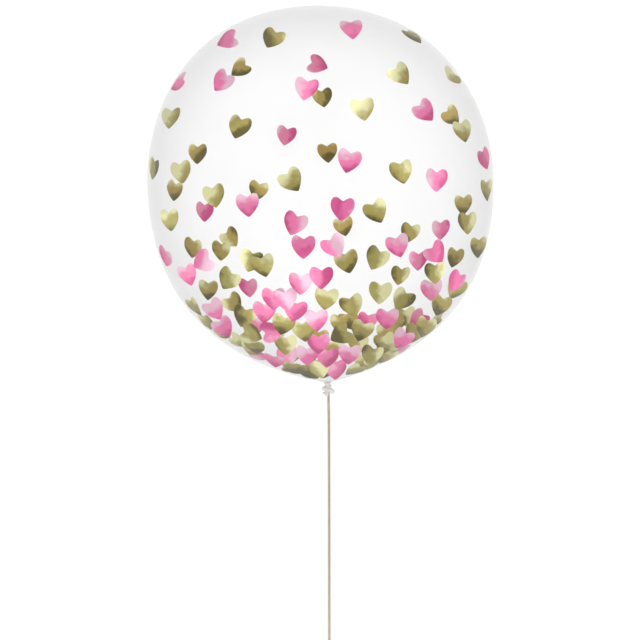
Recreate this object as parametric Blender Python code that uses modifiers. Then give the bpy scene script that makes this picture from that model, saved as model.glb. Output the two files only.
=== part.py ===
# Clear round party balloon, knotted at its neck, with a flat ribbon tied below the knot.
# It lies on its side on the floor, z = 0, with its crown along +Y and its neck along -Y. Metres, +Z up.

import bpy
import bmesh
from math import ceil, cos, pi, radians, sin, sqrt
from mathutils import Matrix, Vector

# Body of the balloon. Lengths run along its axis from the widest line.
BODY_DIAMETER = 0.610
CROWN_HEIGHT = 0.311
TAPER_LENGTH = 0.354
FLAT_SPOT_WIDTH = 0.080
AXIS_TURN = radians(2.0)

# Fullness of the outline: handles of its two curves, as shares of the radius and of each curve's own height.
CROWN_TOP_FULLNESS = 0.71
CROWN_SIDE_FULLNESS = 0.44
TAPER_SIDE_FULLNESS = 0.595
TAPER_END_OUT = 0.594
TAPER_END_DOWN = 0.89

# Neck and knot
NECK_DIAMETER = 0.012
NECK_WAIST = 0.010
NECK_LENGTH = 0.007
KNOT_WIDTH = 0.024
KNOT_ROLL = 0.008
KNOT_SLANT = radians(8.0)
LOOP_WIDTH = 0.019
LOOP_ROLL = 0.006
LOOP_SLANT = radians(-28.0)
LOOP_RISE = 0.0015
LOOP_BACK = 0.0028
PINCH_DIAMETER = 0.0064

# Rolled lip past the knot. TAIL_BELL sets where its bell opens, and MOUTH_FLOOR how wide its floor is.
TAIL_CLEARANCE = 0.0014
TAIL_LENGTH = 0.0070
TAIL_ROOT = 0.0052
TAIL_BELL = 0.45
TAIL_MOUTH = 0.012
TAIL_SLANT = radians(42.0)
LIP_ROLL = 0.0024
MOUTH_DEPTH = 0.002
MOUTH_FLOOR = 0.5
LIP_WRAP = radians(150.0)

# Ribbon: the turns round the pinched neck, its free end and the coil of what is put away
RIBBON_WIDTH = 0.005
TIE_LENGTH = 0.0024
TIE_THICKNESS = 0.0018
TONGUE_THICKNESS = 0.0010
TONGUE_BELOW_KNOT = 0.0015
COIL_OUTER_TURN = 0.0375
COIL_TURNS = 3.85
COIL_PITCH = 0.005
FIT_GAP = 0.0003

# Middle of the ribbon's tube, from under the tie down to the floor and along it to the coil
RIBBON_ROUTE = [
    (0.0130, -0.3355, 0.2886),
    (0.0130, -0.3356, 0.2750),
    (0.0133, -0.3361, 0.2400),
    (0.0137, -0.3370, 0.1900),
    (0.0141, -0.3385, 0.1350),
    (0.0146, -0.3415, 0.0800),
    (0.0151, -0.3484, 0.0400),
    (0.0156, -0.3634, 0.0140),
    (0.0161, -0.3874, 0.0042),
    (0.0165, -0.4200, 0.0026),
    (0.0168, -0.4800, 0.0026),
    (0.0170, -0.5600, 0.0026),
    (0.0171, -0.6500, 0.0026),
    (0.0172, -0.7400, 0.0026),
    (0.0173, -0.8100, 0.0026),
    (0.0173, -0.8500, 0.0026),
    (0.0173, -0.8900, 0.0026),
]

# Fineness of the meshes
BODY_SIDES = 56
CURVE_STEPS = 18
SMALL_SIDES = 24
ROLL_SIDES = 10
COIL_SIDES = 40
TUBE_STEP = 2.5
TUBE_RESOLUTION = 2
ROUTE_READS = 20
LIP_STEPS = 8
STEM_END_STEPS = 3

body_radius = BODY_DIAMETER / 2
axis_height = sqrt(body_radius ** 2 - (FLAT_SPOT_WIDTH / 2) ** 2)
neck_end = TAPER_LENGTH + NECK_LENGTH
knot_middle = neck_end + KNOT_ROLL / 2
tie_start = knot_middle + KNOT_ROLL / 2 + (KNOT_WIDTH - KNOT_ROLL) / 4 * sin(KNOT_SLANT) + FIT_GAP
pinch_end = tie_start + TIE_LENGTH + TAIL_CLEARANCE
tail_turn = TAIL_SLANT - AXIS_TURN
rim_radius = (TAIL_MOUTH - LIP_ROLL) / 2
rim_reach = (TAIL_LENGTH - LIP_ROLL / 2) * cos(tail_turn) + rim_radius * sin(tail_turn) + LIP_ROLL / 2
widest_y = (pinch_end * cos(AXIS_TURN) + rim_reach - CROWN_HEIGHT * cos(AXIS_TURN)) / 2


def clear_scene():
    for item in list(bpy.data.objects):
        bpy.data.objects.remove(item, do_unlink=True)


def new_collection(name):
    group = bpy.data.collections.new(name)
    bpy.context.scene.collection.children.link(group)
    return group


def surface(name, colour, roughness, metallic=0.0, alpha=1.0):
    material = bpy.data.materials.new(name)
    material.use_nodes = True
    shader = material.node_tree.nodes["Principled BSDF"]
    shader.inputs["Base Color"].default_value = (*colour, 1.0)
    shader.inputs["Roughness"].default_value = roughness
    shader.inputs["Metallic"].default_value = metallic
    shader.inputs["Alpha"].default_value = alpha
    material.diffuse_color = (*colour, alpha)
    return material


def place(name, data, group, material=None):
    item = bpy.data.objects.new(name, data)
    group.objects.link(item)
    if material:
        data.materials.append(material)
    return item


def bezier(start, pull_start, pull_end, end, steps):
    points = []
    for i in range(steps + 1):
        t = i / steps
        s = 1 - t
        weights = (s ** 3, 3 * s * s * t, 3 * s * t * t, t ** 3)
        corners = (start, pull_start, pull_end, end)
        points.append(tuple(sum(w * c[k] for w, c in zip(weights, corners)) for k in (0, 1)))
    return points


def arc(middle, radius, first, last, steps):
    angles = [first + (last - first) * i / steps for i in range(steps + 1)]
    return [(middle[0] + radius * cos(a), middle[1] + radius * sin(a)) for a in angles]


def turned(name, outline, sides, group, material=None, closed=False):
    # The outline holds (radius, height) pairs and runs down the outer side.
    mesh = bpy.data.meshes.new(name)
    edges = [(i, i + 1) for i in range(len(outline) - 1)]
    if closed:
        edges.append((len(outline) - 1, 0))
    mesh.from_pydata([(r, 0.0, z) for r, z in outline], edges, [])
    item = place(name, mesh, group, material)
    screw = item.modifiers.new("turn", "SCREW")
    screw.axis = "Z"
    screw.steps = sides
    screw.render_steps = sides
    screw.use_merge_vertices = True
    screw.merge_threshold = 0.00001
    return item


def ring(name, width, roll, sides, group):
    bpy.ops.mesh.primitive_torus_add(major_radius=(width - roll) / 2, minor_radius=roll / 2,
                                     major_segments=sides, minor_segments=ROLL_SIDES)
    item = bpy.context.object
    item.name = name
    for old in list(item.users_collection):
        old.objects.unlink(item)
    group.objects.link(item)
    return item


def block(name, low, high, group):
    mesh = bpy.data.meshes.new(name)
    work = bmesh.new()
    bmesh.ops.create_cube(work, size=1.0)
    size = Vector(high) - Vector(low)
    bmesh.ops.transform(work, matrix=Matrix.Diagonal((*size, 1.0)), verts=work.verts)
    bmesh.ops.translate(work, vec=(Vector(high) + Vector(low)) / 2, verts=work.verts)
    work.to_mesh(mesh)
    work.free()
    return place(name, mesh, group)


def boolean(item, other, operation):
    step = item.modifiers.new(operation.lower(), "BOOLEAN")
    step.operation = operation
    step.solver = "EXACT"
    step.object = other
    other.hide_render = True
    other.display_type = "WIRE"


def balloon_outline():
    crown = bezier((0.0, CROWN_HEIGHT), (CROWN_TOP_FULLNESS * body_radius, CROWN_HEIGHT),
                   (body_radius, CROWN_SIDE_FULLNESS * CROWN_HEIGHT), (body_radius, 0.0), CURVE_STEPS)
    taper = bezier((body_radius, 0.0), (body_radius, -TAPER_SIDE_FULLNESS * TAPER_LENGTH),
                   (TAPER_END_OUT * body_radius, -TAPER_END_DOWN * TAPER_LENGTH),
                   (NECK_DIAMETER / 2, -TAPER_LENGTH), CURVE_STEPS + 4)
    waist = (NECK_WAIST / 2, -(TAPER_LENGTH + NECK_LENGTH / 2))
    pinch = PINCH_DIAMETER / 2
    stem = [waist, (NECK_DIAMETER / 2, -neck_end), (pinch, -knot_middle)]
    stem_end = arc((0.0, -pinch_end), pinch, 0.0, -pi / 2, STEM_END_STEPS)
    return crown + taper[1:] + stem + stem_end


def tail_outline():
    # Its own top is the root, and it opens downwards into a shallow mouth with a rolled rim.
    roll = LIP_ROLL / 2
    rim = (rim_radius, -TAIL_LENGTH + roll)
    root = TAIL_ROOT / 2
    bell = (root + (rim[0] - root) * TAIL_BELL, rim[1] * (1 - TAIL_BELL))
    lip = arc(rim, roll, pi / 2, -LIP_WRAP, LIP_STEPS)
    mouth = [(rim[0] * MOUTH_FLOOR, rim[1] + MOUTH_DEPTH), (0.0, rim[1] + MOUTH_DEPTH)]
    return [(0.0, 0.0), (root, 0.0), bell] + lip + mouth


def make_balloon(group, cutters, latex):
    axis = bpy.data.objects.new("balloon_axis", None)
    group.objects.link(axis)
    axis.location = (0.0, widest_y, axis_height)
    axis.rotation_euler = (-pi / 2, 0.0, AXIS_TURN)

    body = turned("balloon", balloon_outline(), BODY_SIDES, group, latex)
    knot = ring("knot_roll", KNOT_WIDTH, KNOT_ROLL, SMALL_SIDES, cutters)
    knot.location = (0.0, 0.0, -knot_middle)
    knot.rotation_euler = (0.0, KNOT_SLANT, 0.0)
    loop = ring("knot_loop", LOOP_WIDTH, LOOP_ROLL, SMALL_SIDES, cutters)
    loop.location = (0.0, -LOOP_RISE, LOOP_BACK - knot_middle)
    loop.rotation_euler = (0.0, LOOP_SLANT, 0.0)
    tail = turned("rolled_lip", tail_outline(), SMALL_SIDES, cutters)
    tail.location = (0.0, 0.0, -pinch_end)
    tail.rotation_euler = (0.0, TAIL_SLANT, 0.0)
    for item in (body, knot, loop, tail):
        item.parent = axis
    for item in (knot, loop, tail):
        boolean(body, item, "UNION")

    reach = BODY_DIAMETER
    floor = block("floor_cut", (-reach, -reach, -reach), (reach, reach, 0.0), cutters)
    boolean(body, floor, "DIFFERENCE")
    body.data.shade_smooth()
    return axis


def make_tie(group, cutters, axis, material):
    inner = PINCH_DIAMETER / 2 + FIT_GAP
    outer = inner + TIE_THICKNESS
    top = -tie_start
    bottom = top - TIE_LENGTH
    outline = [(outer, top), (outer, bottom), (inner, bottom), (inner, top)]
    tie = turned("ribbon_tie", outline, SMALL_SIDES, group, material, closed=True)
    tie.parent = axis
    # The free end leaves the turns straight down. The balloon's own +Y side faces the floor.
    middle = (top + bottom) / 2
    drop = KNOT_WIDTH / 2 + TONGUE_BELOW_KNOT
    low = (-RIBBON_WIDTH / 2, outer - TIE_THICKNESS / 2, middle - TONGUE_THICKNESS / 2)
    high = (RIBBON_WIDTH / 2, drop, middle + TONGUE_THICKNESS / 2)
    tongue = block("tie_tongue", low, high, cutters)
    tongue.parent = axis
    boolean(tie, tongue, "UNION")


def smooth_route(route, step):
    # A Catmull-Rom curve through the route's points, read at even steps
    points = [Vector(p) for p in route]
    ends = [points[0] * 2 - points[1]] + points + [points[-1] * 2 - points[-2]]
    dense = []
    for a, b, c, d in zip(ends, ends[1:], ends[2:], ends[3:]):
        for i in range(ROUTE_READS):
            t = i / ROUTE_READS
            dense.append(0.5 * (2 * b + (c - a) * t + (2 * a - 5 * b + 4 * c - d) * t ** 2
                                + (3 * b - a - 3 * c + d) * t ** 3))
    dense.append(points[-1])
    total = sum((q - p).length for p, q in zip(dense, dense[1:]))
    count = ceil(total / step)
    wanted = [total * i / count for i in range(1, count)]
    even = [dense[0]]
    run = 0.0
    for p, q in zip(dense, dense[1:]):
        length = (q - p).length
        while wanted and wanted[0] <= run + length:
            even.append(p.lerp(q, (wanted.pop(0) - run) / length))
        run += length
    return even + [dense[-1]]


def make_ribbon(group, material):
    curve = bpy.data.curves.new("ribbon", "CURVE")
    curve.dimensions = "3D"
    curve.bevel_depth = RIBBON_WIDTH / 2
    curve.bevel_resolution = TUBE_RESOLUTION
    curve.use_fill_caps = True
    points = smooth_route(RIBBON_ROUTE, TUBE_STEP * RIBBON_WIDTH)
    spline = curve.splines.new("POLY")
    spline.points.add(len(points) - 1)
    for point, spot in zip(spline.points, points):
        point.co = (*spot, 1.0)
    place("ribbon", curve, group, material)


def make_coil(group, material):
    # A ring round all the turns. The ribbon runs into the outermost turn along its tangent.
    half = RIBBON_WIDTH / 2
    outer = COIL_OUTER_TURN + half
    inner = COIL_OUTER_TURN - COIL_PITCH * COIL_TURNS - half
    entry = sqrt(outer ** 2 - (COIL_OUTER_TURN - half) ** 2) + FIT_GAP
    outline = [(outer, RIBBON_WIDTH), (outer, 0.0), (inner, 0.0), (inner, RIBBON_WIDTH)]
    coil = turned("ribbon_coil", outline, COIL_SIDES, group, material, closed=True)
    end = RIBBON_ROUTE[-1]
    coil.location = (end[0] - COIL_OUTER_TURN, end[1] - entry, 0.0)


def main():
    clear_scene()
    group = new_collection("confetti_balloon")
    cutters = new_collection("cutters")
    latex = surface("clear_latex", (0.90, 0.90, 0.88), 0.12, alpha=0.35)
    foil_ribbon = surface("ribbon_gold", (0.52, 0.44, 0.29), 0.35, metallic=0.4)
    axis = make_balloon(group, cutters, latex)
    make_tie(group, cutters, axis, foil_ribbon)
    make_ribbon(group, foil_ribbon)
    make_coil(group, foil_ribbon)


main()
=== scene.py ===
# Looks of the confetti balloon: clear film, knot, foil hearts, ribbon, lights and camera.
# Metres, +Z up. The balloon lies on its side, crown along +Y, and the camera looks straight down on it.

from math import atan2, ceil, cos, hypot, pi, radians, sin, sqrt
from random import Random

import bmesh
import bpy
from mathutils import Euler, Matrix, Vector
from mathutils.bvhtree import BVHTree
from mathutils.geometry import interpolate_bezier


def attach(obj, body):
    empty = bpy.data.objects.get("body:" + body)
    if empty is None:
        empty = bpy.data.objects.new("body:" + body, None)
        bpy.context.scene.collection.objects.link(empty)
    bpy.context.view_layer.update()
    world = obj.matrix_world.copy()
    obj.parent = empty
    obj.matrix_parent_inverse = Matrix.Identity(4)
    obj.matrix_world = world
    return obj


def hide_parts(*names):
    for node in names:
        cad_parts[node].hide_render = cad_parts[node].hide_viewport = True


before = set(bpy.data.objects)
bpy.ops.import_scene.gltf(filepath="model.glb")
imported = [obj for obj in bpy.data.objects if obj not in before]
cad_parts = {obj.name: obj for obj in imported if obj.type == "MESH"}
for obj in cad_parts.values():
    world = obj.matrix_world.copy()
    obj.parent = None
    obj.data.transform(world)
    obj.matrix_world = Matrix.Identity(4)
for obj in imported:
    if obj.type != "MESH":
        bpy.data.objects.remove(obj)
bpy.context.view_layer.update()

print("frame loaded:", sorted(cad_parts))
scene = bpy.context.scene


# Shader maths: a wrapped socket, on which sums and products add their own Math nodes

class Value:
    def __init__(self, graph, socket):
        self.graph, self.socket = graph, socket

    def math(self, operation, first, second):
        return self.graph.node("ShaderNodeMath", {"operation": operation}, {0: first, 1: second})

    def __add__(self, other):
        return self.math("ADD", self, other)

    def __radd__(self, other):
        return self.math("ADD", other, self)

    def __sub__(self, other):
        return self.math("SUBTRACT", self, other)

    def __rsub__(self, other):
        return self.math("SUBTRACT", other, self)

    def __mul__(self, other):
        return self.math("MULTIPLY", self, other)

    def __rmul__(self, other):
        return self.math("MULTIPLY", other, self)


class Graph:
    def __init__(self, owner):
        owner.use_nodes = True
        self.owner, self.tree = owner, owner.node_tree
        self.tree.nodes.clear()

    def node(self, kind, settings, sockets, output=0):
        made = self.tree.nodes.new(kind)
        for name, setting in settings.items():
            setattr(made, name, setting)
        for name, value in sockets.items():
            if isinstance(value, Value):
                self.tree.links.new(value.socket, made.inputs[name])
            else:
                made.inputs[name].default_value = value
        return Value(self, made.outputs[output]) if made.outputs else None

    def objectPoint(self):
        return self.node("ShaderNodeTexCoord", {}, {}, "Object")

    def part(self, vector, axis):
        return self.node("ShaderNodeSeparateXYZ", {}, {"Vector": vector}, axis)

    def attribute(self, name):
        return self.node("ShaderNodeAttribute", {"attribute_name": name}, {}, "Fac")

    def stretched(self, vector, scales):
        return self.node("ShaderNodeMapping", {}, {"Vector": vector, "Scale": scales})

    def noise(self, vector, scale):
        return self.node("ShaderNodeTexNoise", {}, {"Vector": vector, "Scale": scale}, "Fac")

    def smoothStep(self, value, start, end, low=0.0, high=1.0):
        return self.node("ShaderNodeMapRange", {"interpolation_type": "SMOOTHSTEP"},
                         {"Value": value, "From Min": start, "From Max": end,
                          "To Min": low, "To Max": high})

    def blend(self, share, first, second):
        return self.node("ShaderNodeMix", {"data_type": "RGBA"},
                         {0: share, 6: (*first, 1.0) if isinstance(first, tuple) else first,
                          7: (*second, 1.0) if isinstance(second, tuple) else second}, 2)

    def bump(self, height, strength, distance):
        return self.node("ShaderNodeBump", {},
                         {"Height": height, "Strength": strength, "Distance": distance})

    def surface(self, sockets):
        shader = self.node("ShaderNodeBsdfPrincipled", {}, sockets)
        self.node("ShaderNodeOutputMaterial", {}, {"Surface": shader})
        return self.owner


def newGraph(name):
    return Graph(bpy.data.materials.new(name))


def newPiece(name, work, material, nodes=()):
    mesh = bpy.data.meshes.new(name)
    work.to_mesh(mesh)
    work.free()
    mesh.materials.append(material)
    for face in mesh.polygons:
        face.use_smooth = True
    piece = bpy.data.objects.new(name, mesh)
    scene.collection.objects.link(piece)
    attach(piece, "root")
    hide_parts(*nodes)
    return piece


def spun(work, outline, sides):
    # Turns (radius, height) pairs about Z into a shell, closed where the outline meets the axis.
    verts = [work.verts.new((r, 0.0, z)) for r, z in outline]
    edges = [work.edges.new(pair) for pair in zip(verts, verts[1:])]
    bmesh.ops.spin(work, geom=verts + edges, cent=(0, 0, 0), axis=(0, 0, 1), angle=2 * pi,
                   steps=sides, use_merge=True, use_duplicate=False)


# Balloon: its solid's outline made finer, with a thin wall. The crown is moved a little, to meet the
# photograph's outline.

balloonLook = {
    "bodyRadius": 0.305,
    "crownHeight": 0.311,
    "taperLength": 0.354,
    "crownDrop": 0.010,         # share taken off the crown's height, which the near camera stretches
    "crownLean": 0.006,         # how far the crown leans to the left, as in the photograph
    "flatSpotWidth": 0.080,
    "axisTurn": radians(2.0),
    "crownTopFullness": 0.71,
    "crownSideFullness": 0.44,
    "taperSideFullness": 0.595,
    "taperEndOut": 0.594,
    "taperEndDown": 0.89,
    "neckRadius": 0.006,
    "neckWaist": 0.005,
    "neckLength": 0.0095,       # it ends inside the knot
    "neckCap": 0.004,
    "widestLine": 0.0357,       # where along Y the body is widest
    "wall": 0.0003,
    "sameSpot": 0.00005,
    "sides": 144,
    "curveSteps": 48,
    "pleats": 11,
    "pleatDepth": 0.07,
    "pleatStart": 0.326,
    "milkiness": 0.21,          # share of light that one wall takes near the rim
    "clearest": 0.014,
    "milkColour": (0.24, 0.24, 0.24),
    "neckColour": (0.90, 0.90, 0.87),
    "neckMilkiness": 0.60,
    "neckMilkStart": -0.3155,   # where along Y the film turns milky, towards the neck
    "neckMilkEnd": -0.3225,
}

axisHeight = sqrt(balloonLook["bodyRadius"] ** 2 - (balloonLook["flatSpotWidth"] / 2) ** 2)
balloonPlace = (Matrix.Translation((0.0, balloonLook["widestLine"], axisHeight))
                @ Euler((-pi / 2, 0.0, balloonLook["axisTurn"])).to_matrix().to_4x4())


def filmMaterial():
    look = balloonLook
    graph = newGraph("clearLatexFilm")
    point = graph.objectPoint()
    facing = graph.node("ShaderNodeLayerWeight", {}, {"Blend": 0.5}, "Facing")
    # Each wall has an outer and an inner face, so each face takes half
    rim = graph.smoothStep(facing, 0.03, 0.88, look["clearest"] / 2, look["milkiness"] / 2)
    neck = graph.smoothStep(graph.part(point, "Y"), look["neckMilkStart"], look["neckMilkEnd"])
    streaks = graph.noise(graph.stretched(point, (1.0, 0.12, 1.0)), 140.0)
    neckMilk = neck * look["neckMilkiness"] * (0.75 + 0.5 * streaks)
    alpha = rim + (1 - rim) * neckMilk
    colour = graph.blend(neck, look["milkColour"], look["neckColour"])
    return graph.surface({"Base Color": colour, "Roughness": 0.22, "Alpha": alpha, "IOR": 1.4,
                          "Specular IOR Level": 0.35})


def balloonOutline():
    look = balloonLook
    radius, crown, taper = look["bodyRadius"], look["crownHeight"], look["taperLength"]
    crownRun = interpolate_bezier(
        (0.0, crown), (look["crownTopFullness"] * radius, crown),
        (radius, look["crownSideFullness"] * crown), (radius, 0.0), look["curveSteps"])
    taperRun = interpolate_bezier(
        (radius, 0.0), (radius, -look["taperSideFullness"] * taper),
        (look["taperEndOut"] * radius, -look["taperEndDown"] * taper),
        (look["neckRadius"], -taper), look["curveSteps"])
    neckEnd = taper + look["neckLength"]
    neck = [(look["neckWaist"], -(taper + look["neckLength"] / 2)), (look["neckRadius"] * 0.95, -neckEnd),
            (look["neckWaist"] * 0.7, -neckEnd - 0.75 * look["neckCap"]), (0.0, -neckEnd - look["neckCap"])]
    return [tuple(p) for p in crownRun + taperRun[1:]] + neck


def makeFilm():
    look = balloonLook
    work = bmesh.new()
    spun(work, balloonOutline(), look["sides"])
    bmesh.ops.remove_doubles(work, verts=work.verts, dist=look["sameSpot"])
    for vert in work.verts:
        rise = max(vert.co.z / look["crownHeight"], 0.0) ** 2
        vert.co.z *= 1 - look["crownDrop"] * rise
        vert.co.x -= look["crownLean"] * rise
        depth = (-vert.co.z - look["pleatStart"]) / (look["taperLength"] - look["pleatStart"])
        fold = look["pleatDepth"] * min(max(depth, 0.0), 1.0) ** 2
        swell = 1 + fold * cos(look["pleats"] * atan2(vert.co.y, vert.co.x))
        vert.co.x *= swell
        vert.co.y *= swell
    bmesh.ops.transform(work, matrix=balloonPlace, verts=work.verts)
    for vert in work.verts:
        vert.co.z = max(vert.co.z, 0.0)    # the flat spot where it rests on the floor
    bmesh.ops.recalc_face_normals(work, faces=work.faces)
    tree = BVHTree.FromBMesh(work)
    film = newPiece("balloonFilm", work, filmMaterial(), ["balloon"])
    wall = film.modifiers.new("wall", "SOLIDIFY")
    wall.thickness = look["wall"]
    wall.offset = -1.0
    return film, tree


balloonFilm, filmTree = makeFilm()
print("film made:", len(balloonFilm.data.polygons), "faces")


# Knot: the rolled neck, tied over itself, and the rolled lip past it, fused as one skin

knotLook = {
    "rollMiddle": 0.3672,
    "rollRing": 0.0070,
    "rollTube": 0.0037,
    "rollSlant": radians(14.0),
    "loopMiddle": 0.3642,
    "loopRing": 0.0055,
    "loopTube": 0.0026,
    "loopSlant": radians(-24.0),
    "lobe": (0.0068, -0.0034, -0.3706),       # the fold that bulges over the tie
    "lobeSize": (0.0060, 0.0048, 0.0045),
    "lobeSlant": radians(21.0),
    "pinchRadius": 0.0032,        # the latex inside the tie and the rolls
    "pinchTop": 0.009,
    "pinchShoulder": 0.0075,
    "pinchEnd": 0.373657,
    "lipStart": (-0.0004, -0.0024, -0.3714),
    "lipSlant": radians(40.0),
    "lipLength": 0.0076,
    "lipRoot": 0.0033,
    "lipRing": 0.0046,
    "lipTube": 0.0015,
    "sameSpot": 0.00002,
    "voxel": 0.00040,
    "colour": (0.83, 0.82, 0.81),
    "shadeColour": (0.70, 0.69, 0.68),
}


def knotMaterial():
    look = knotLook
    graph = newGraph("knottedLatex")
    point = graph.objectPoint()
    foldsAndShade = graph.noise(graph.stretched(point, (0.5, 1.6, 0.5)), 420.0)
    grain = graph.noise(point, 2600.0)
    # Painted shade: the low places of the fold pattern, which the bump makes into creases, are painted in
    # the darker shade colour.
    colour = graph.blend(foldsAndShade, look["shadeColour"], look["colour"])
    return graph.surface({"Base Color": colour, "Roughness": 0.32 + 0.12 * grain, "Alpha": 0.86,
                          "IOR": 1.45, "Normal": graph.bump(foldsAndShade + 0.2 * grain, 0.3, 0.0006)})


def addRing(work, ring, tube, sides, place):
    # A closed ring: a small circle spun about Z
    circle = bmesh.ops.create_circle(work, segments=16, radius=tube)["verts"]
    bmesh.ops.rotate(work, verts=circle, cent=(0, 0, 0), matrix=Matrix.Rotation(pi / 2, 3, "X"))
    bmesh.ops.translate(work, verts=circle, vec=(ring, 0.0, 0.0))
    edges = list({edge for vert in circle for edge in vert.link_edges})
    before = set(work.verts) - set(circle)
    bmesh.ops.spin(work, geom=circle + edges, cent=(0, 0, 0), axis=(0, 0, 1), angle=2 * pi,
                   steps=sides, use_merge=True, use_duplicate=False)
    bmesh.ops.transform(work, matrix=place, verts=[v for v in work.verts if v not in before])


def addTurned(work, outline, sides, place):
    before = set(work.verts)
    spun(work, outline, sides)
    fresh = [v for v in work.verts if v not in before]
    bmesh.ops.transform(work, matrix=place, verts=fresh)


def slanted(middle, slant):
    return Matrix.Translation(middle) @ Matrix.Rotation(slant, 4, "Y")


def makeKnot():
    look = knotLook
    work = bmesh.new()
    rollPlace = slanted((0.0, 0.0, -look["rollMiddle"]), look["rollSlant"])
    loopPlace = slanted((0.0, 0.0, -look["loopMiddle"]), look["loopSlant"])
    addRing(work, look["rollRing"], look["rollTube"], 40, rollPlace)
    addRing(work, look["loopRing"], look["loopTube"], 36, loopPlace)
    lobe = bmesh.ops.create_icosphere(work, subdivisions=3, radius=1.0)["verts"]
    lobePlace = slanted(look["lobe"], look["lobeSlant"]) @ Matrix.Diagonal((*look["lobeSize"], 1.0))
    bmesh.ops.transform(work, verts=lobe, matrix=lobePlace)
    pinch, middle = look["pinchRadius"], look["rollMiddle"]
    addTurned(work, [(0.0, look["pinchTop"] - middle), (pinch * 1.6, look["pinchShoulder"] - middle),
                     (pinch * 1.5, -middle), (pinch, -middle - 0.003), (pinch, -look["pinchEnd"]),
                     (0.0, -look["pinchEnd"] - pinch)], 28, Matrix.Identity(4))
    reach, ring, tube = look["lipLength"], look["lipRing"], look["lipTube"]
    lipPlace = slanted(look["lipStart"], look["lipSlant"])
    addTurned(work, [(0.0, 0.0), (look["lipRoot"], 0.0), (look["lipRoot"] * 1.3, -0.45 * reach),
                     (ring, -reach + tube), (ring * 0.75, -reach + tube), (ring * 0.4, -reach + 1.9 * tube),
                     (0.0, -reach + 2.6 * tube)], 28, lipPlace)
    addRing(work, ring, tube, 36, lipPlace @ Matrix.Translation((0.0, 0.0, -reach + tube)))
    bmesh.ops.remove_doubles(work, verts=work.verts, dist=look["sameSpot"])
    bmesh.ops.recalc_face_normals(work, faces=work.faces)
    bmesh.ops.transform(work, matrix=balloonPlace, verts=work.verts)
    knot = newPiece("balloonKnot", work, knotMaterial(), ["balloon"])
    fuse = knot.modifiers.new("fuse", "REMESH")
    fuse.mode = "VOXEL"
    fuse.voxel_size = look["voxel"]
    fuse.use_smooth_shade = True
    ease = knot.modifiers.new("ease", "SMOOTH")
    ease.factor = 0.5
    ease.iterations = 6
    bpy.context.view_layer.update()
    skin = bpy.data.meshes.new_from_object(knot.evaluated_get(bpy.context.evaluated_depsgraph_get()))
    knot.modifiers.clear()
    skin.name = "balloonKnotSkin"
    knot.data = skin
    return knot


balloonKnot = makeKnot()
print("knot made:", len(balloonKnot.data.polygons), "faces")


# Camera: straight above, at the distance that gives near and far hearts their sizes in the photograph

cameraLook = {
    "distance": 3.0,              # above the balloon's middle
    "photoStep": 0.001770,        # one step of the photograph's 640 across, at the balloon's middle
    "stepsAcross": 640,
    "middleAcross": -0.4,         # the frame's middle from the balloon's, in those steps
    "middleBelow": 138.0,         # the frame's middle below the balloon's widest line
    "shiftBelow": 50.0,           # as much of that as is lens shift
    "sensor": 36.0,
}

halfFrame = cameraLook["photoStep"] * cameraLook["stepsAcross"] / 2
stepsBelow = cameraLook["middleBelow"] - cameraLook["shiftBelow"]
cameraSpot = Vector((cameraLook["middleAcross"] * cameraLook["photoStep"],
                     balloonLook["widestLine"] - stepsBelow * cameraLook["photoStep"],
                     axisHeight + cameraLook["distance"]))

camera = bpy.data.objects.new("camera", bpy.data.cameras.new("camera"))
camera.data.sensor_width = cameraLook["sensor"]
camera.data.lens = cameraLook["sensor"] / 2 * cameraLook["distance"] / halfFrame
camera.data.shift_y = -cameraLook["shiftBelow"] / cameraLook["stepsAcross"]
camera.data.clip_start = 0.05
camera.data.clip_end = 60.0
camera.location = cameraSpot
scene.collection.objects.link(camera)
scene.camera = camera
print("camera set, lens", round(camera.data.lens, 1))


# Ribbon: one flat band, from under the tie down to the floor, along it, and on edge into its coil

ribbonLook = {
    "width": 0.005,
    "thickness": 0.0003,
    "step": 0.0025,               # along the band, between the points that it is made on
    "curveSteps": 30,             # from each point of the route to the next, before they are evened out
    "twistStart": -0.846,         # along Y, where the lying band starts to turn on edge
    "twistEnd": -0.884,
    "coilRadius": 0.0375,
    "coilTurns": 3.85,
    "coilPitch": 0.005,
    "coilRun": 0.0197,            # straight run from the route's end to the coil's first point
    "coilStepsPerTurn": 64,
    "length": 1.5,
    "crown": 0.00025,             # how far the band's middle stands above its edges
    "colour": (0.41, 0.34, 0.23),
    # The lighter colour is painted light on the band's left half, as if lit from that side.
    "paintedLitSideColour": (0.60, 0.51, 0.38),
    "ribs": 7.0,
    "route": [
        (0.0130, -0.3355, 0.2886), (0.0130, -0.3356, 0.2750), (0.0133, -0.3361, 0.2400),
        (0.0137, -0.3370, 0.1900), (0.0141, -0.3385, 0.1350), (0.0146, -0.3415, 0.0800),
        (0.0151, -0.3484, 0.0390), (0.0156, -0.3634, 0.0122), (0.0161, -0.3874, 0.0022),
        (0.0165, -0.4200, 0.0006), (0.0168, -0.4800, 0.0006), (0.0170, -0.5600, 0.0006),
        (0.0171, -0.6500, 0.0006), (0.0172, -0.7400, 0.0006), (0.0173, -0.8100, 0.0006),
        (0.0173, -0.8500, 0.0006), (0.0173, -0.8900, 0.0006),
    ],
}


def ribbonMaterial(name, paintedLightShare):
    look = ribbonLook
    graph = newGraph(name)
    across = graph.part(graph.node("ShaderNodeUVMap", {"uv_map": "band"}, {}), "Y")
    wave = graph.node("ShaderNodeMath", {"operation": "SINE"}, {0: across * (2 * pi * look["ribs"])})
    grain = graph.noise(graph.objectPoint(), 900.0)
    # Painted light: the band's left half is painted lighter, as if lit from that side, in the given share.
    edge = graph.smoothStep(across, 0.55, 0.0)
    colour = graph.blend(edge * paintedLightShare + 0.2 * grain, look["colour"], look["paintedLitSideColour"])
    return graph.surface({"Base Color": colour, "Metallic": 0.25, "Roughness": 0.30 + 0.12 * grain,
                          "Coat Weight": 0.2, "Coat Roughness": 0.25,
                          "Normal": graph.bump(wave * 0.5 + grain, 0.35, 0.00012)})


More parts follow.
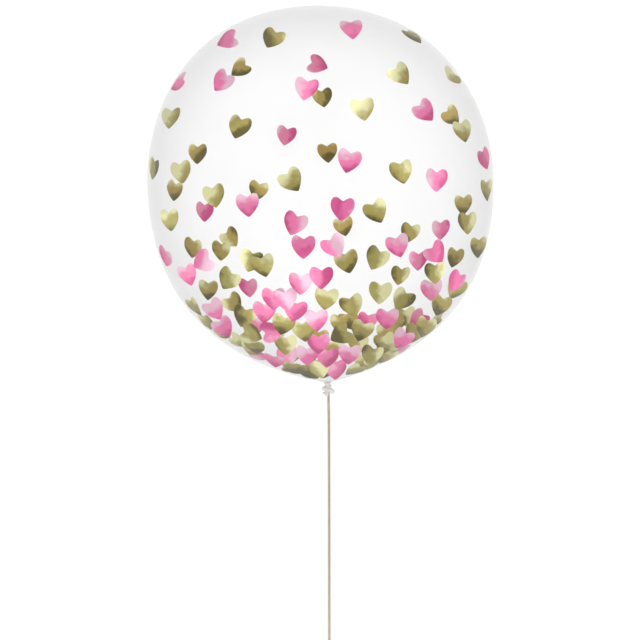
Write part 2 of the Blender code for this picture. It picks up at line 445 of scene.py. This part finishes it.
def evenRun(route, step):
    # A smooth curve through the route's points, read at even steps
    points = [Vector(p) for p in route]
    ends = [points[0] * 2 - points[1]] + points + [points[-1] * 2 - points[-2]]
    dense = []
    for a, b, c, d in zip(ends, ends[1:], ends[2:], ends[3:]):
        for i in range(ribbonLook["curveSteps"]):
            t = i / ribbonLook["curveSteps"]
            dense.append(0.5 * (2 * b + (c - a) * t + (2 * a - 5 * b + 4 * c - d) * t ** 2
                                + (3 * b - a - 3 * c + d) * t ** 3))
    dense.append(points[-1])
    total = sum((q - p).length for p, q in zip(dense, dense[1:]))
    count = ceil(total / step)
    wanted = [total * i / count for i in range(1, count)]
    even, run = [dense[0]], 0.0
    for p, q in zip(dense, dense[1:]):
        length = (q - p).length
        while wanted and wanted[0] <= run + length:
            even.append(p.lerp(q, (wanted.pop(0) - run) / length))
        run += length
    return even + [dense[-1]]


def eased(value, start, end):
    share = min(max((value - start) / (end - start), 0.0), 1.0)
    return share * share * (3 - 2 * share)


def bandPath():
    # Points of the band's middle line, and for each how far it is turned on edge
    look = ribbonLook
    points = evenRun(look["route"], look["step"])
    corner = points[-1]
    steps = ceil(look["coilRun"] / look["step"])
    points += [corner + Vector((0.0, -look["coilRun"] * i / steps, 0.0)) for i in range(1, steps)]
    middle = corner + Vector((-look["coilRadius"], -look["coilRun"], 0.0))
    for i in range(ceil(look["coilTurns"] * look["coilStepsPerTurn"]) + 1):
        turn = min(i / look["coilStepsPerTurn"], look["coilTurns"])
        radius = look["coilRadius"] - look["coilPitch"] * turn
        points.append(middle + Vector((radius * cos(2 * pi * turn), -radius * sin(2 * pi * turn), 0.0)))
    turns, coiling = [], False
    for point in points:
        coiling = coiling or point.y < look["twistEnd"]
        turns.append(pi / 2 if coiling else pi / 2 * eased(point.y, look["twistStart"], look["twistEnd"]))
        point.z += look["width"] / 2 * sin(turns[-1])
    return points, turns


def sweepBand(work, points, turns, width, crown):
    # A flat band along the points. turns says how far each place of it is turned from lying to on edge.
    uvLayer = work.loops.layers.uv.new("band")
    count = len(points) - 1
    verts = bmesh.ops.create_grid(work, x_segments=count, y_segments=4, size=1.0)["verts"]
    run = [0.0]
    for p, q in zip(points, points[1:]):
        run.append(run[-1] + (q - p).length)
    spots = {}
    for vert in verts:
        index, share = round((vert.co.x + 1) / 2 * count), vert.co.y
        along = (points[min(index + 1, count)] - points[max(index - 1, 0)]).normalized()
        flat = (Vector((1, 0, 0)) - along * along.x).normalized() * cos(turns[index])
        side = flat + Vector((0, 0, 1)) * sin(turns[index])
        up = along.cross(side).normalized()
        spots[vert] = (run[index], (share + 1) / 2)
        vert.co = points[index] + side * (share * width / 2) - up * (crown * (1 - share * share))
    for vert in verts:
        for loop in vert.link_loops:
            loop[uvLayer].uv = spots[vert]


def makeRibbon():
    look = ribbonLook
    points, turns = bandPath()
    work = bmesh.new()
    sweepBand(work, points, turns, look["width"], look["crown"])
    ribbon = newPiece("ribbonBand", work, ribbonMaterial("satinRibbon", 0.75),
                      ["ribbon", "ribbon_coil"])
    body = ribbon.modifiers.new("thickness", "SOLIDIFY")
    body.thickness = look["thickness"]
    body.offset = 0.0
    return ribbon, points


ribbonBand, ribbonPath = makeRibbon()
print("ribbon made:", len(ribbonPath), "points")

tieLook = {
    "start": 0.369857,
    "length": 0.0024,
    "inner": 0.0035,
    "outer": 0.0053,
    "turns": 3,
    "turnTilt": radians(7.0),
    "turnTaper": 0.0001,
    "turnFullness": 0.92,
    "turnFlatness": 0.62,
    "lump": (0.0027, 0.0020, 0.0017),
    "lumpOut": 0.0008,
    "tongueOut": 0.0006,          # where the band leaves the turns, and how deep its gathers are there
    "tongueEnd": 0.0135,
    "tongueThickness": 0.0004,
    "ribsPerMetre": 130,
}


def makeTie():
    look = tieLook
    work = bmesh.new()
    tube = (look["outer"] - look["inner"]) / 2
    ring = (look["outer"] + look["inner"]) / 2
    middle = -look["start"] - look["length"] / 2
    for i in range(look["turns"]):
        height = -look["start"] - look["length"] * (i + 0.5) / look["turns"]
        tilt = look["turnTilt"] * (i - 1)
        place = (Matrix.Translation((0.0, 0.0, height)) @ Matrix.Rotation(tilt, 4, "X")
                 @ Matrix.Diagonal((1.0, 1.0, look["turnFlatness"], 1.0)))
        addRing(work, ring - look["turnTaper"] * i, tube * look["turnFullness"], 40, place)
    lump = bmesh.ops.create_icosphere(work, subdivisions=3, radius=1.0)["verts"]
    lumpPlace = Matrix.Translation((0.0, ring + look["lumpOut"], middle))
    bmesh.ops.transform(work, verts=lump, matrix=lumpPlace @ Matrix.Diagonal((*look["lump"], 1.0)))
    # The band that leaves the turns, straight down to the ribbon's first point
    tongue = bmesh.ops.create_grid(work, x_segments=4, y_segments=16, size=1.0)["verts"]
    out = look["tongueOut"]
    for vert in tongue:
        share = (vert.co.y + 1) / 2
        gather = 0.45 + 0.55 * eased(share, 0.0, 0.75)
        across = vert.co.x * ribbonLook["width"] / 2 * gather
        drop = ring + out + (look["tongueEnd"] - ring - out) * share
        vert.co = Vector((across, drop, middle + out * (1 - gather) * cos(3 * pi * vert.co.x)))
    slab = {face for vert in tongue for face in vert.link_faces}
    bmesh.ops.solidify(work, geom=list(slab), thickness=look["tongueThickness"])
    bmesh.ops.recalc_face_normals(work, faces=work.faces)
    bmesh.ops.transform(work, matrix=balloonPlace, verts=work.verts)
    uvLayer = work.loops.layers.uv.new("band")
    for face in work.faces:
        for loop in face.loops:
            loop[uvLayer].uv = (loop.vert.co.z, (loop.vert.co.y * look["ribsPerMetre"]) % 1)
    return newPiece("ribbonTie", work, ribbonMaterial("tiedRibbon", 0.2), ["ribbon_tie"])


ribbonTie = makeTie()
print("tie made")


# Confetti: foil hearts that cling inside the film. Each place is read in the photograph's own steps:
# across from the balloon's middle, up from its widest line, turn to the left in degrees, and a painted
# reflection tone, from -1 where the flake looks dark to 1 where it looks pale, which paints painted shade
# into its colour at the low end and painted highlight at the high end. Near ones are on the wall towards
# the camera and far ones on the wall behind. Rim ones are at the outline, tip ones stand one behind the
# other just above the neck, and under ones close the heap behind the rim.

confettiLook = {
    "width": 0.0390,
    "height": 0.0385,
    "outlineTall": 1.72,          # height of the heart's outline where it is drawn two wide
    "centre": -0.12,
    "tipFullness": 1.55,
    "columns": 8,
    "rows": 6,
    "thickness": 0.00018,
    "gap": 0.0009,                # least room between a flake and the film
    "layer": 0.0016,              # added for each layer of flakes that already lies there
    "mostLayers": 5,
    "crowding": 0.030,            # flakes nearer than this are taken to lie on each other
    "closeEnough": 0.0001,
    "tries": 20,
    "slidingTries": 8,
    "longestSlide": 0.10,
    "leastSlide": 0.25,           # flakes more edge on than this don't slide along the camera's line
    "leastShear": 0.35,           # flakes more edge on than this keep their turn as it is
    "rimReach": 1.02,             # flakes at the rim start this far out and are then pushed in
    "shrinkStep": 0.005,          # how a place beyond the outline is brought in until it meets the film
    "mostShrink": 0.5,
    "wallSkip": 0.004,
    "curl": (3.0, 14.0),          # one over the radius that a flake is bent to
    "cup": 2.0,
    "tilt": radians(6.0),
    # How far each kind turns from lying on its wall to facing the camera
    "faceUp": {"near": 0.7, "far": 0.6, "rim": 0.3, "under": 0.2, "tip": 2.5, "heap": 1.1},
    "tipDepths": (0.30, 0.75, 0.60, 0.45),     # from the near wall, 0, to the far one, 1
    "heapTop": -105,              # below this line near and far flakes are part of the heap
    "seed": 24,
    "crinkleAndZoneScale": 62.0,
    "grainScale": 1100.0,
    "paleRange": (0.0, 0.72),
    "shadowRange": (-0.18, -0.82),
    # Foil colours: deep is plain foil, and muted is its random dull tone and the painted shade of far
    # flakes. Light is a painted highlight and dark a painted shade.
    "gold": {"deep": (0.34, 0.31, 0.10), "muted": (0.38, 0.28, 0.08),
             "light": (0.70, 0.68, 0.38), "dark": (0.12, 0.10, 0.03)},
    "pink": {"deep": (0.80, 0.18, 0.40), "muted": (0.70, 0.25, 0.37),
             "light": (0.79, 0.50, 0.61), "dark": (0.56, 0.09, 0.24)},
}

goldHearts = {
    "near": [
        (-47, 145, -28, -0.7), (-150, 66, -5, 0.4), (-81, 57, -20, -0.5), (79, 109, 42, 0.7),
        (42, 75, 9, 0.9), (142, 53, 15, 0.6), (-140, 12, 8, 0.7), (-107, -12, 12, 0.6),
        (-30, 3, 33, 0.5), (-151, -36, 5, 0.3), (-69, -77, -15, 0.0), (-58, -82, 15, 0.1),
        (81, 12, 12, 0.1), (147, -39, 0, 0.2), (55, -28, 22, 0.1), (26, -78, 15, 0.0),
        (57, -75, -30, 0.2), (160, -64, -3, -0.6),
        (115, -89, 0, 0.0), (142, -109, -25, 0.1), (60, -109, -4, 0.7), (83, -116, -32, -0.1),
        (121, -122, -20, -0.6), (31, -122, 15, 0.0), (6, -115, -10, 0.6), (106, -144, -20, 0.0),
        (22, -152, -60, -0.8), (42, -147, -20, 0.1), (52, -172, -20, 0.1), (68, -170, 0, 0.2),
        (-91, -96, -30, 0.1), (-76, -133, -15, -0.6),
        (-71, -152, 70, 0.1), (-37, -141, -15, 0.0), (-17, -147, 10, 0.1),
        (-35, -161, 0, 0.6),
    ],
    "far": [
        (-79, 114, -54, -0.5), (2, 86, 10, -0.5), (130, 67, 40, -0.4), (-123, 30, 0, -0.7),
        (-146, -7, -10, -0.2), (-62, -7, -12, -0.5), (7, 31, 5, -0.5), (-127, -64, -3, 0.0),
        (-91, -55, 35, 0.1), (-99, -67, 0, 0.0), (143, -21, 0, -0.2), (23, -43, 15, -0.1),
        (90, -49, -10, -0.1), (135, -74, -12, -0.5), (80, -92, -10, 0.0), (85, -133, 0, 0.5),
        (66, -149, 0, 0.0), (38, -161, 0, 0.6), (28, -137, 20, -0.5), (64, -159, 10, 0.6),
        (-112, -106, 3, 0.0), (-88, -120, 38, 0.1), (-2, -155, -5, -0.6),
        (12, -165, 20, 0.2), (-30, -172, -10, 0.0), (45, -178, 15, 0.3),
        (95, -150, -20, 0.0), (20, -140, 0, -0.3), (-45, -150, 5, 0.2), (75, -140, -10, 0.0),
    ],
    "rim": [
        (92, 148, 50, -0.6), (132, 107, -35, 0.8), (-167, 15, -10, -0.4), (167, -6, 0, 0.0),
        (-127, -123, 35, 0.0), (-115, -138, 30, 0.1), (-70, -166, -20, 0.6), (-66, -164, 10, -0.3),
        (36, -187, -60, 0.1), (-84, -159, 60, 0.7), (-24, -187, 75, -0.9), (68, -174, -50, 0.2),
        (54, -180, -30, 0.4),
    ],
    "tip": [(-1, -188, 10, 0.9), (6, -194, -20, 0.0), (-10, -190, 40, -0.9)],
    "under": [(-101, -149, 60, 0.2), (-32, -185, 80, -0.3), (47, -183, -70, 0.2), (116, -137, -60, 0.0)],
}
pinkHearts = {
    "near": [
        (-92, 143, -65, 0.0), (-97, 102, -39, 0.5), (-14, 95, -12, 0.1), (31, 155, 10, 0.1),
        (103, 72, 36, 0.0), (-73, -21, 5, 0.2), (-25, -40, -18, 0.1), (-17, -63, 0, -0.5),
        (-116, -79, -60, 0.7), (29, 23, -8, 0.1), (116, 4, -4, 0.1), (22, -25, -8, -0.8),
        (77, -62, 15, 0.2), (13, -63, 30, 0.6), (115, -70, 35, -0.4), (111, -106, 0, 0.6),
        (137, -98, -28, -0.5), (67, -135, 0, 0.1), (83, -156, -32, 0.1), (29, -171, -5, 0.5),
        (7, -174, 0, -0.5), (-133, -91, 20, 0.0), (-107, -126, 35, 0.7), (-98, -144, 38, 0.1),
        (-20, -100, 0, 0.6), (1, -94, 0, -0.7), (-47, -115, 0, 0.1), (-35, -116, 10, 0.7),
        (-56, -128, 0, 0.0), (-25, -127, -8, -0.5), (-4, -136, 5, 0.6), (-50, -150, 100, -0.4),
        (-2, -160, 0, -0.3), (-13, -172, 0, 0.6),
    ],
    "far": [
        (-34, 48, -12, -0.4), (-4, 118, 75, -0.3), (-116, -28, 0, -0.7), (120, -46, 0, 0.0),
        (98, -77, 0, -0.4), (99, -136, -45, -0.7), (47, -138, -10, -0.7), (-72, -104, 5, -0.4),
        (-64, -141, 0, 0.3), (-33, -173, 10, 0.6),
    ],
    "rim": [(-141, 100, -50, 0.0), (-155, -74, 0, 0.0), (164, 25, 15, -0.8), (-47, -179, 20, 0.1)],
    "tip": [(15, -187, 0, 0.3)],
    "under": [(-64, -172, 70, 0.3), (82, -165, -60, 0.2)],
}


def foilMaterial(name, shades):
    look = confettiLook
    graph = newGraph(name)
    point = graph.objectPoint()
    crinkleAndPaintedZones = graph.noise(point, look["crinkleAndZoneScale"])
    grain = graph.noise(point, look["grainScale"])
    # Painted highlight and painted shade: zones of each flake are painted pale or dark from its painted
    # reflection tone, a painted sheen that runs across its bend, and the crinkle pattern.
    paintedSheen = graph.attribute("paintedSheen") + 1.6 * crinkleAndPaintedZones - 0.8
    paintedReflectionTone = graph.attribute("paintedReflectionTone")
    pale = graph.smoothStep(paintedReflectionTone * 0.7 + 0.9 * paintedSheen, *look["paleRange"])
    shadow = graph.smoothStep(paintedReflectionTone * 0.6 + 0.9 * paintedSheen, *look["shadowRange"])
    # The plain foil colour leans to muted at random, and more on far flakes, where that is painted shade.
    plain = graph.blend(graph.attribute("dullAndFarShade"), shades["deep"], shades["muted"])
    colour = graph.blend(shadow, graph.blend(pale, plain, shades["light"]), shades["dark"])
    return graph.surface({"Base Color": colour, "Metallic": 1.0, "Roughness": 0.42 + 0.08 * grain,
                          "Coat Weight": 0.2, "Coat Roughness": 0.35,
                          "Normal": graph.bump(crinkleAndPaintedZones + 0.05 * grain, 0.2, 0.0016)})


def heartEdge(turn):
    # Outline of a heart two wide, from its notch clockwise. The tip is at half a turn.
    side = 1 if sin(turn) > 0 else -1
    across = abs(sin(turn)) ** confettiLook["tipFullness"] * side
    return across, (13 * cos(turn) - 4 * cos(2 * turn) - 1.5 * cos(3 * turn) - 0.8 * cos(4 * turn)) / 16


def heartPoint(u, v):
    # A place of the square from -1 to 1, drawn onto the heart by way of a disc
    look = confettiLook
    x, y = u * sqrt(1 - v * v / 2), v * sqrt(1 - u * u / 2)
    reach, turn = hypot(x, y), atan2(x, y)
    edgeX, edgeY = heartEdge(turn)
    centre, tall = look["centre"], look["height"] / look["outlineTall"]
    return reach * edgeX * look["width"] / 2, (centre + reach * (edgeY - centre)) * tall


def wallSpot(across, up, far):
    # Where the camera's line through that place of the middle plane meets the near or the far wall
    look = confettiLook
    step = cameraLook["photoStep"]
    shrink = 1.0
    while shrink > look["mostShrink"]:
        aim = Vector((across * step * shrink, balloonLook["widestLine"] + up * step * shrink, axisHeight))
        line = (aim - cameraSpot).normalized()
        spot, normal = filmTree.ray_cast(cameraSpot, line)[:2]
        if spot and far:
            spot, normal = filmTree.ray_cast(spot + line * look["wallSkip"], line)[:2]
        if spot:
            return spot, normal, line
        shrink -= look["shrinkStep"]


def depthInside(point):
    # How far inside the film a point is, or below zero if it is outside
    touch, outward = filmTree.find_nearest(point)[:2]
    return (touch - point).dot(outward)


def clearFilm(verts, wall, room, inward, towards, slide):
    # A near or far flake slides along the camera's line until it clears the film. At the rim, or where the
    # slide takes it too far, it is pushed straight off the wall. At the tip it moves towards the crown.
    look = confettiLook
    start = [vert.co.copy() for vert in verts]
    slides = wall in ("near", "far") and slide > look["leastSlide"]
    for attempt in range(look["tries"]):
        if attempt == look["slidingTries"] and (verts[0].co - start[0]).length > look["longestSlide"]:
            for vert, place in zip(verts, start):
                vert.co = place
        depth = min(depthInside(vert.co) for vert in verts)
        if depth > room - look["closeEnough"]:
            break
        if wall == "tip":
            move = Vector((0.0, room - depth, 0.0))
        elif slides and attempt < look["slidingTries"]:
            move = -towards * ((room - depth) / slide)
        else:
            move = inward * (room - depth)
        for vert in verts:
            vert.co += move


def layHeart(work, layers, place, wall, draw, laid):
    look = confettiLook
    across, up, turnDegrees, paintedReflectionTone = place
    far = wall in ("far", "under")
    reach = look["rimReach"] if wall in ("rim", "under") else 1.0
    spot, normal, line = wallSpot(across * reach, up * reach, far)
    if wall == "tip":
        depth = look["tipDepths"][sum(other[2] == "tip" for other in laid)]
        spot = spot.lerp(wallSpot(across, up, True)[0], depth)
    faceUp = look["faceUp"]["heap" if up < look["heapTop"] and wall in ("near", "far") else wall]
    towards = -line if line.dot(normal) < 0 else line
    normal = (normal + towards * faceUp).normalized()
    turn = radians(turnDegrees)
    upright = Vector((-sin(turn), cos(turn), 0.0))
    slide = line.dot(normal)
    if abs(slide) > look["leastShear"]:
        upright = upright - line * (upright.dot(normal) / slide)
    upright = (upright - normal * upright.dot(normal)).normalized()
    tiltAxis = Vector((draw.uniform(-1, 1), draw.uniform(-1, 1), draw.uniform(-1, 1))).normalized()
    lean = Matrix.Rotation(draw.uniform(-1, 1) * look["tilt"], 3, tiltAxis)
    inward = lean @ -normal
    upright = lean @ upright
    sideways = upright.cross(inward).normalized()
    curl = draw.uniform(*look["curl"]) * draw.choice((1, 1, -1))
    cup = draw.uniform(-0.3, 1.0) * look["cup"]
    curlTurn = draw.uniform(0, pi)
    # Far flakes get more of the muted colour, as painted shade. Near ones get a little at random.
    dullAndFarShade = draw.uniform(0.45, 1.0) if far else draw.uniform(0.0, 0.5)
    near = [other for other in laid if (other[0] - spot).length < look["crowding"]]
    level = max((other[1] for other in near), default=-1) + 1
    laid.append((spot, level, wall))
    verts = bmesh.ops.create_grid(work, x_segments=look["columns"], y_segments=look["rows"],
                                  size=1.0)["verts"]
    for vert in verts:
        a, b = heartPoint(vert.co.x, vert.co.y)
        q = a * cos(curlTurn) + b * sin(curlTurn)
        lift = curl * q * q / 2 + cup * (a * a + b * b) / 2
        vert.co = spot + sideways * a + upright * b + inward * lift
        # Painted reflection tone for the whole flake, and a painted sheen across its bend.
        vert[layers["paintedReflectionTone"]] = paintedReflectionTone
        vert[layers["paintedSheen"]] = q / (look["width"] / 2)
        vert[layers["dullAndFarShade"]] = dullAndFarShade
    room = look["gap"] + look["layer"] * min(level, look["mostLayers"])
    clearFilm(verts, wall, room, inward, towards, abs(slide))


def makeConfetti(name, material, places, draw, laid):
    work = bmesh.new()
    layers = {key: work.verts.layers.float.new(key) for key in ("paintedReflectionTone", "paintedSheen", "dullAndFarShade")}
    for wall, spots in places.items():
        for place in spots:
            layHeart(work, layers, place, wall, draw, laid)
    for edge in work.edges:
        edge.smooth = not edge.is_boundary
    confetti = newPiece(name, work, material)
    body = confetti.modifiers.new("thickness", "SOLIDIFY")
    body.thickness = confettiLook["thickness"]
    body.offset = 0.0


draw = Random(confettiLook["seed"])
laidHearts = []
goldFoil = foilMaterial("goldFoil", confettiLook["gold"])
pinkFoil = foilMaterial("pinkFoil", confettiLook["pink"])
makeConfetti("goldConfetti", goldFoil, goldHearts, draw, laidHearts)
makeConfetti("pinkConfetti", pinkFoil, pinkHearts, draw, laidHearts)
print("confetti made:", len(laidHearts), "hearts")


# Stage: a pale floor that glows a little, so that it is white through the film too, and soft panels above

stageLook = {
    "floorSize": 16.0,
    "floorBelow": 0.0006,
    "floorGlow": 0.80,
    "floorColour": (0.22, 0.22, 0.22),
    "skyHorizon": (0.97, 0.97, 0.97),
    "skyTop": (0.50, 0.50, 0.51),
    "panels": [                   # place, size, radiance
        ((-1.3, 0.8, 3.0), (1.4, 0.45), 6.5),
        ((1.5, 0.1, 2.9), (0.5, 1.7), 5.5),
        ((0.2, 2.0, 2.6), (1.8, 0.45), 6.0),
        ((-0.5, -1.8, 2.8), (1.7, 0.45), 6.5),
        ((2.6, -1.6, 1.4), (1.6, 0.6), 4.0),
        ((-2.8, -0.9, 1.2), (0.6, 1.6), 4.0),
    ],
}


def makeFloor():
    look = stageLook
    work = bmesh.new()
    bmesh.ops.create_grid(work, x_segments=1, y_segments=1, size=look["floorSize"] / 2)
    bmesh.ops.translate(work, verts=work.verts, vec=(0.0, 0.0, -look["floorBelow"]))
    mesh = bpy.data.meshes.new("studioFloor")
    work.to_mesh(mesh)
    work.free()
    graph = newGraph("studioFloor")
    mesh.materials.append(graph.surface({
        "Base Color": (*look["floorColour"], 1.0), "Roughness": 0.9, "Specular IOR Level": 0.0,
        "Emission Color": (1.0, 1.0, 1.0, 1.0), "Emission Strength": look["floorGlow"]}))
    floor = bpy.data.objects.new("studioFloor", mesh)
    scene.collection.objects.link(floor)


def makeSky():
    look = stageLook
    world = bpy.data.worlds.new("studio")
    scene.world = world
    graph = Graph(world)
    height = graph.part(graph.node("ShaderNodeTexCoord", {}, {}, "Generated"), "Z")
    colour = graph.blend(graph.smoothStep(height, 0.15, 0.9), look["skyHorizon"], look["skyTop"])
    graph.node("ShaderNodeOutputWorld", {}, {
        "Surface": graph.node("ShaderNodeBackground", {}, {"Color": colour, "Strength": 1.0})})


def makePanels():
    aim = Vector((0.0, 0.0, axisHeight))
    for i, (spot, size, radiance) in enumerate(stageLook["panels"]):
        lamp = bpy.data.lights.new(f"panel{i + 1}", "AREA")
        lamp.shape = "RECTANGLE"
        lamp.size, lamp.size_y = size
        lamp.energy = radiance * pi * size[0] * size[1]
        panel = bpy.data.objects.new(lamp.name, lamp)
        panel.location = spot
        panel.rotation_euler = (aim - Vector(spot)).to_track_quat("-Z", "Y").to_euler()
        panel.visible_camera = False
        scene.collection.objects.link(panel)


makeFloor()
makeSky()
makePanels()
scene.view_settings.view_transform = "Standard"
scene.view_settings.look = "None"
scene.cycles.transparent_max_bounces = 24
print("stage made")
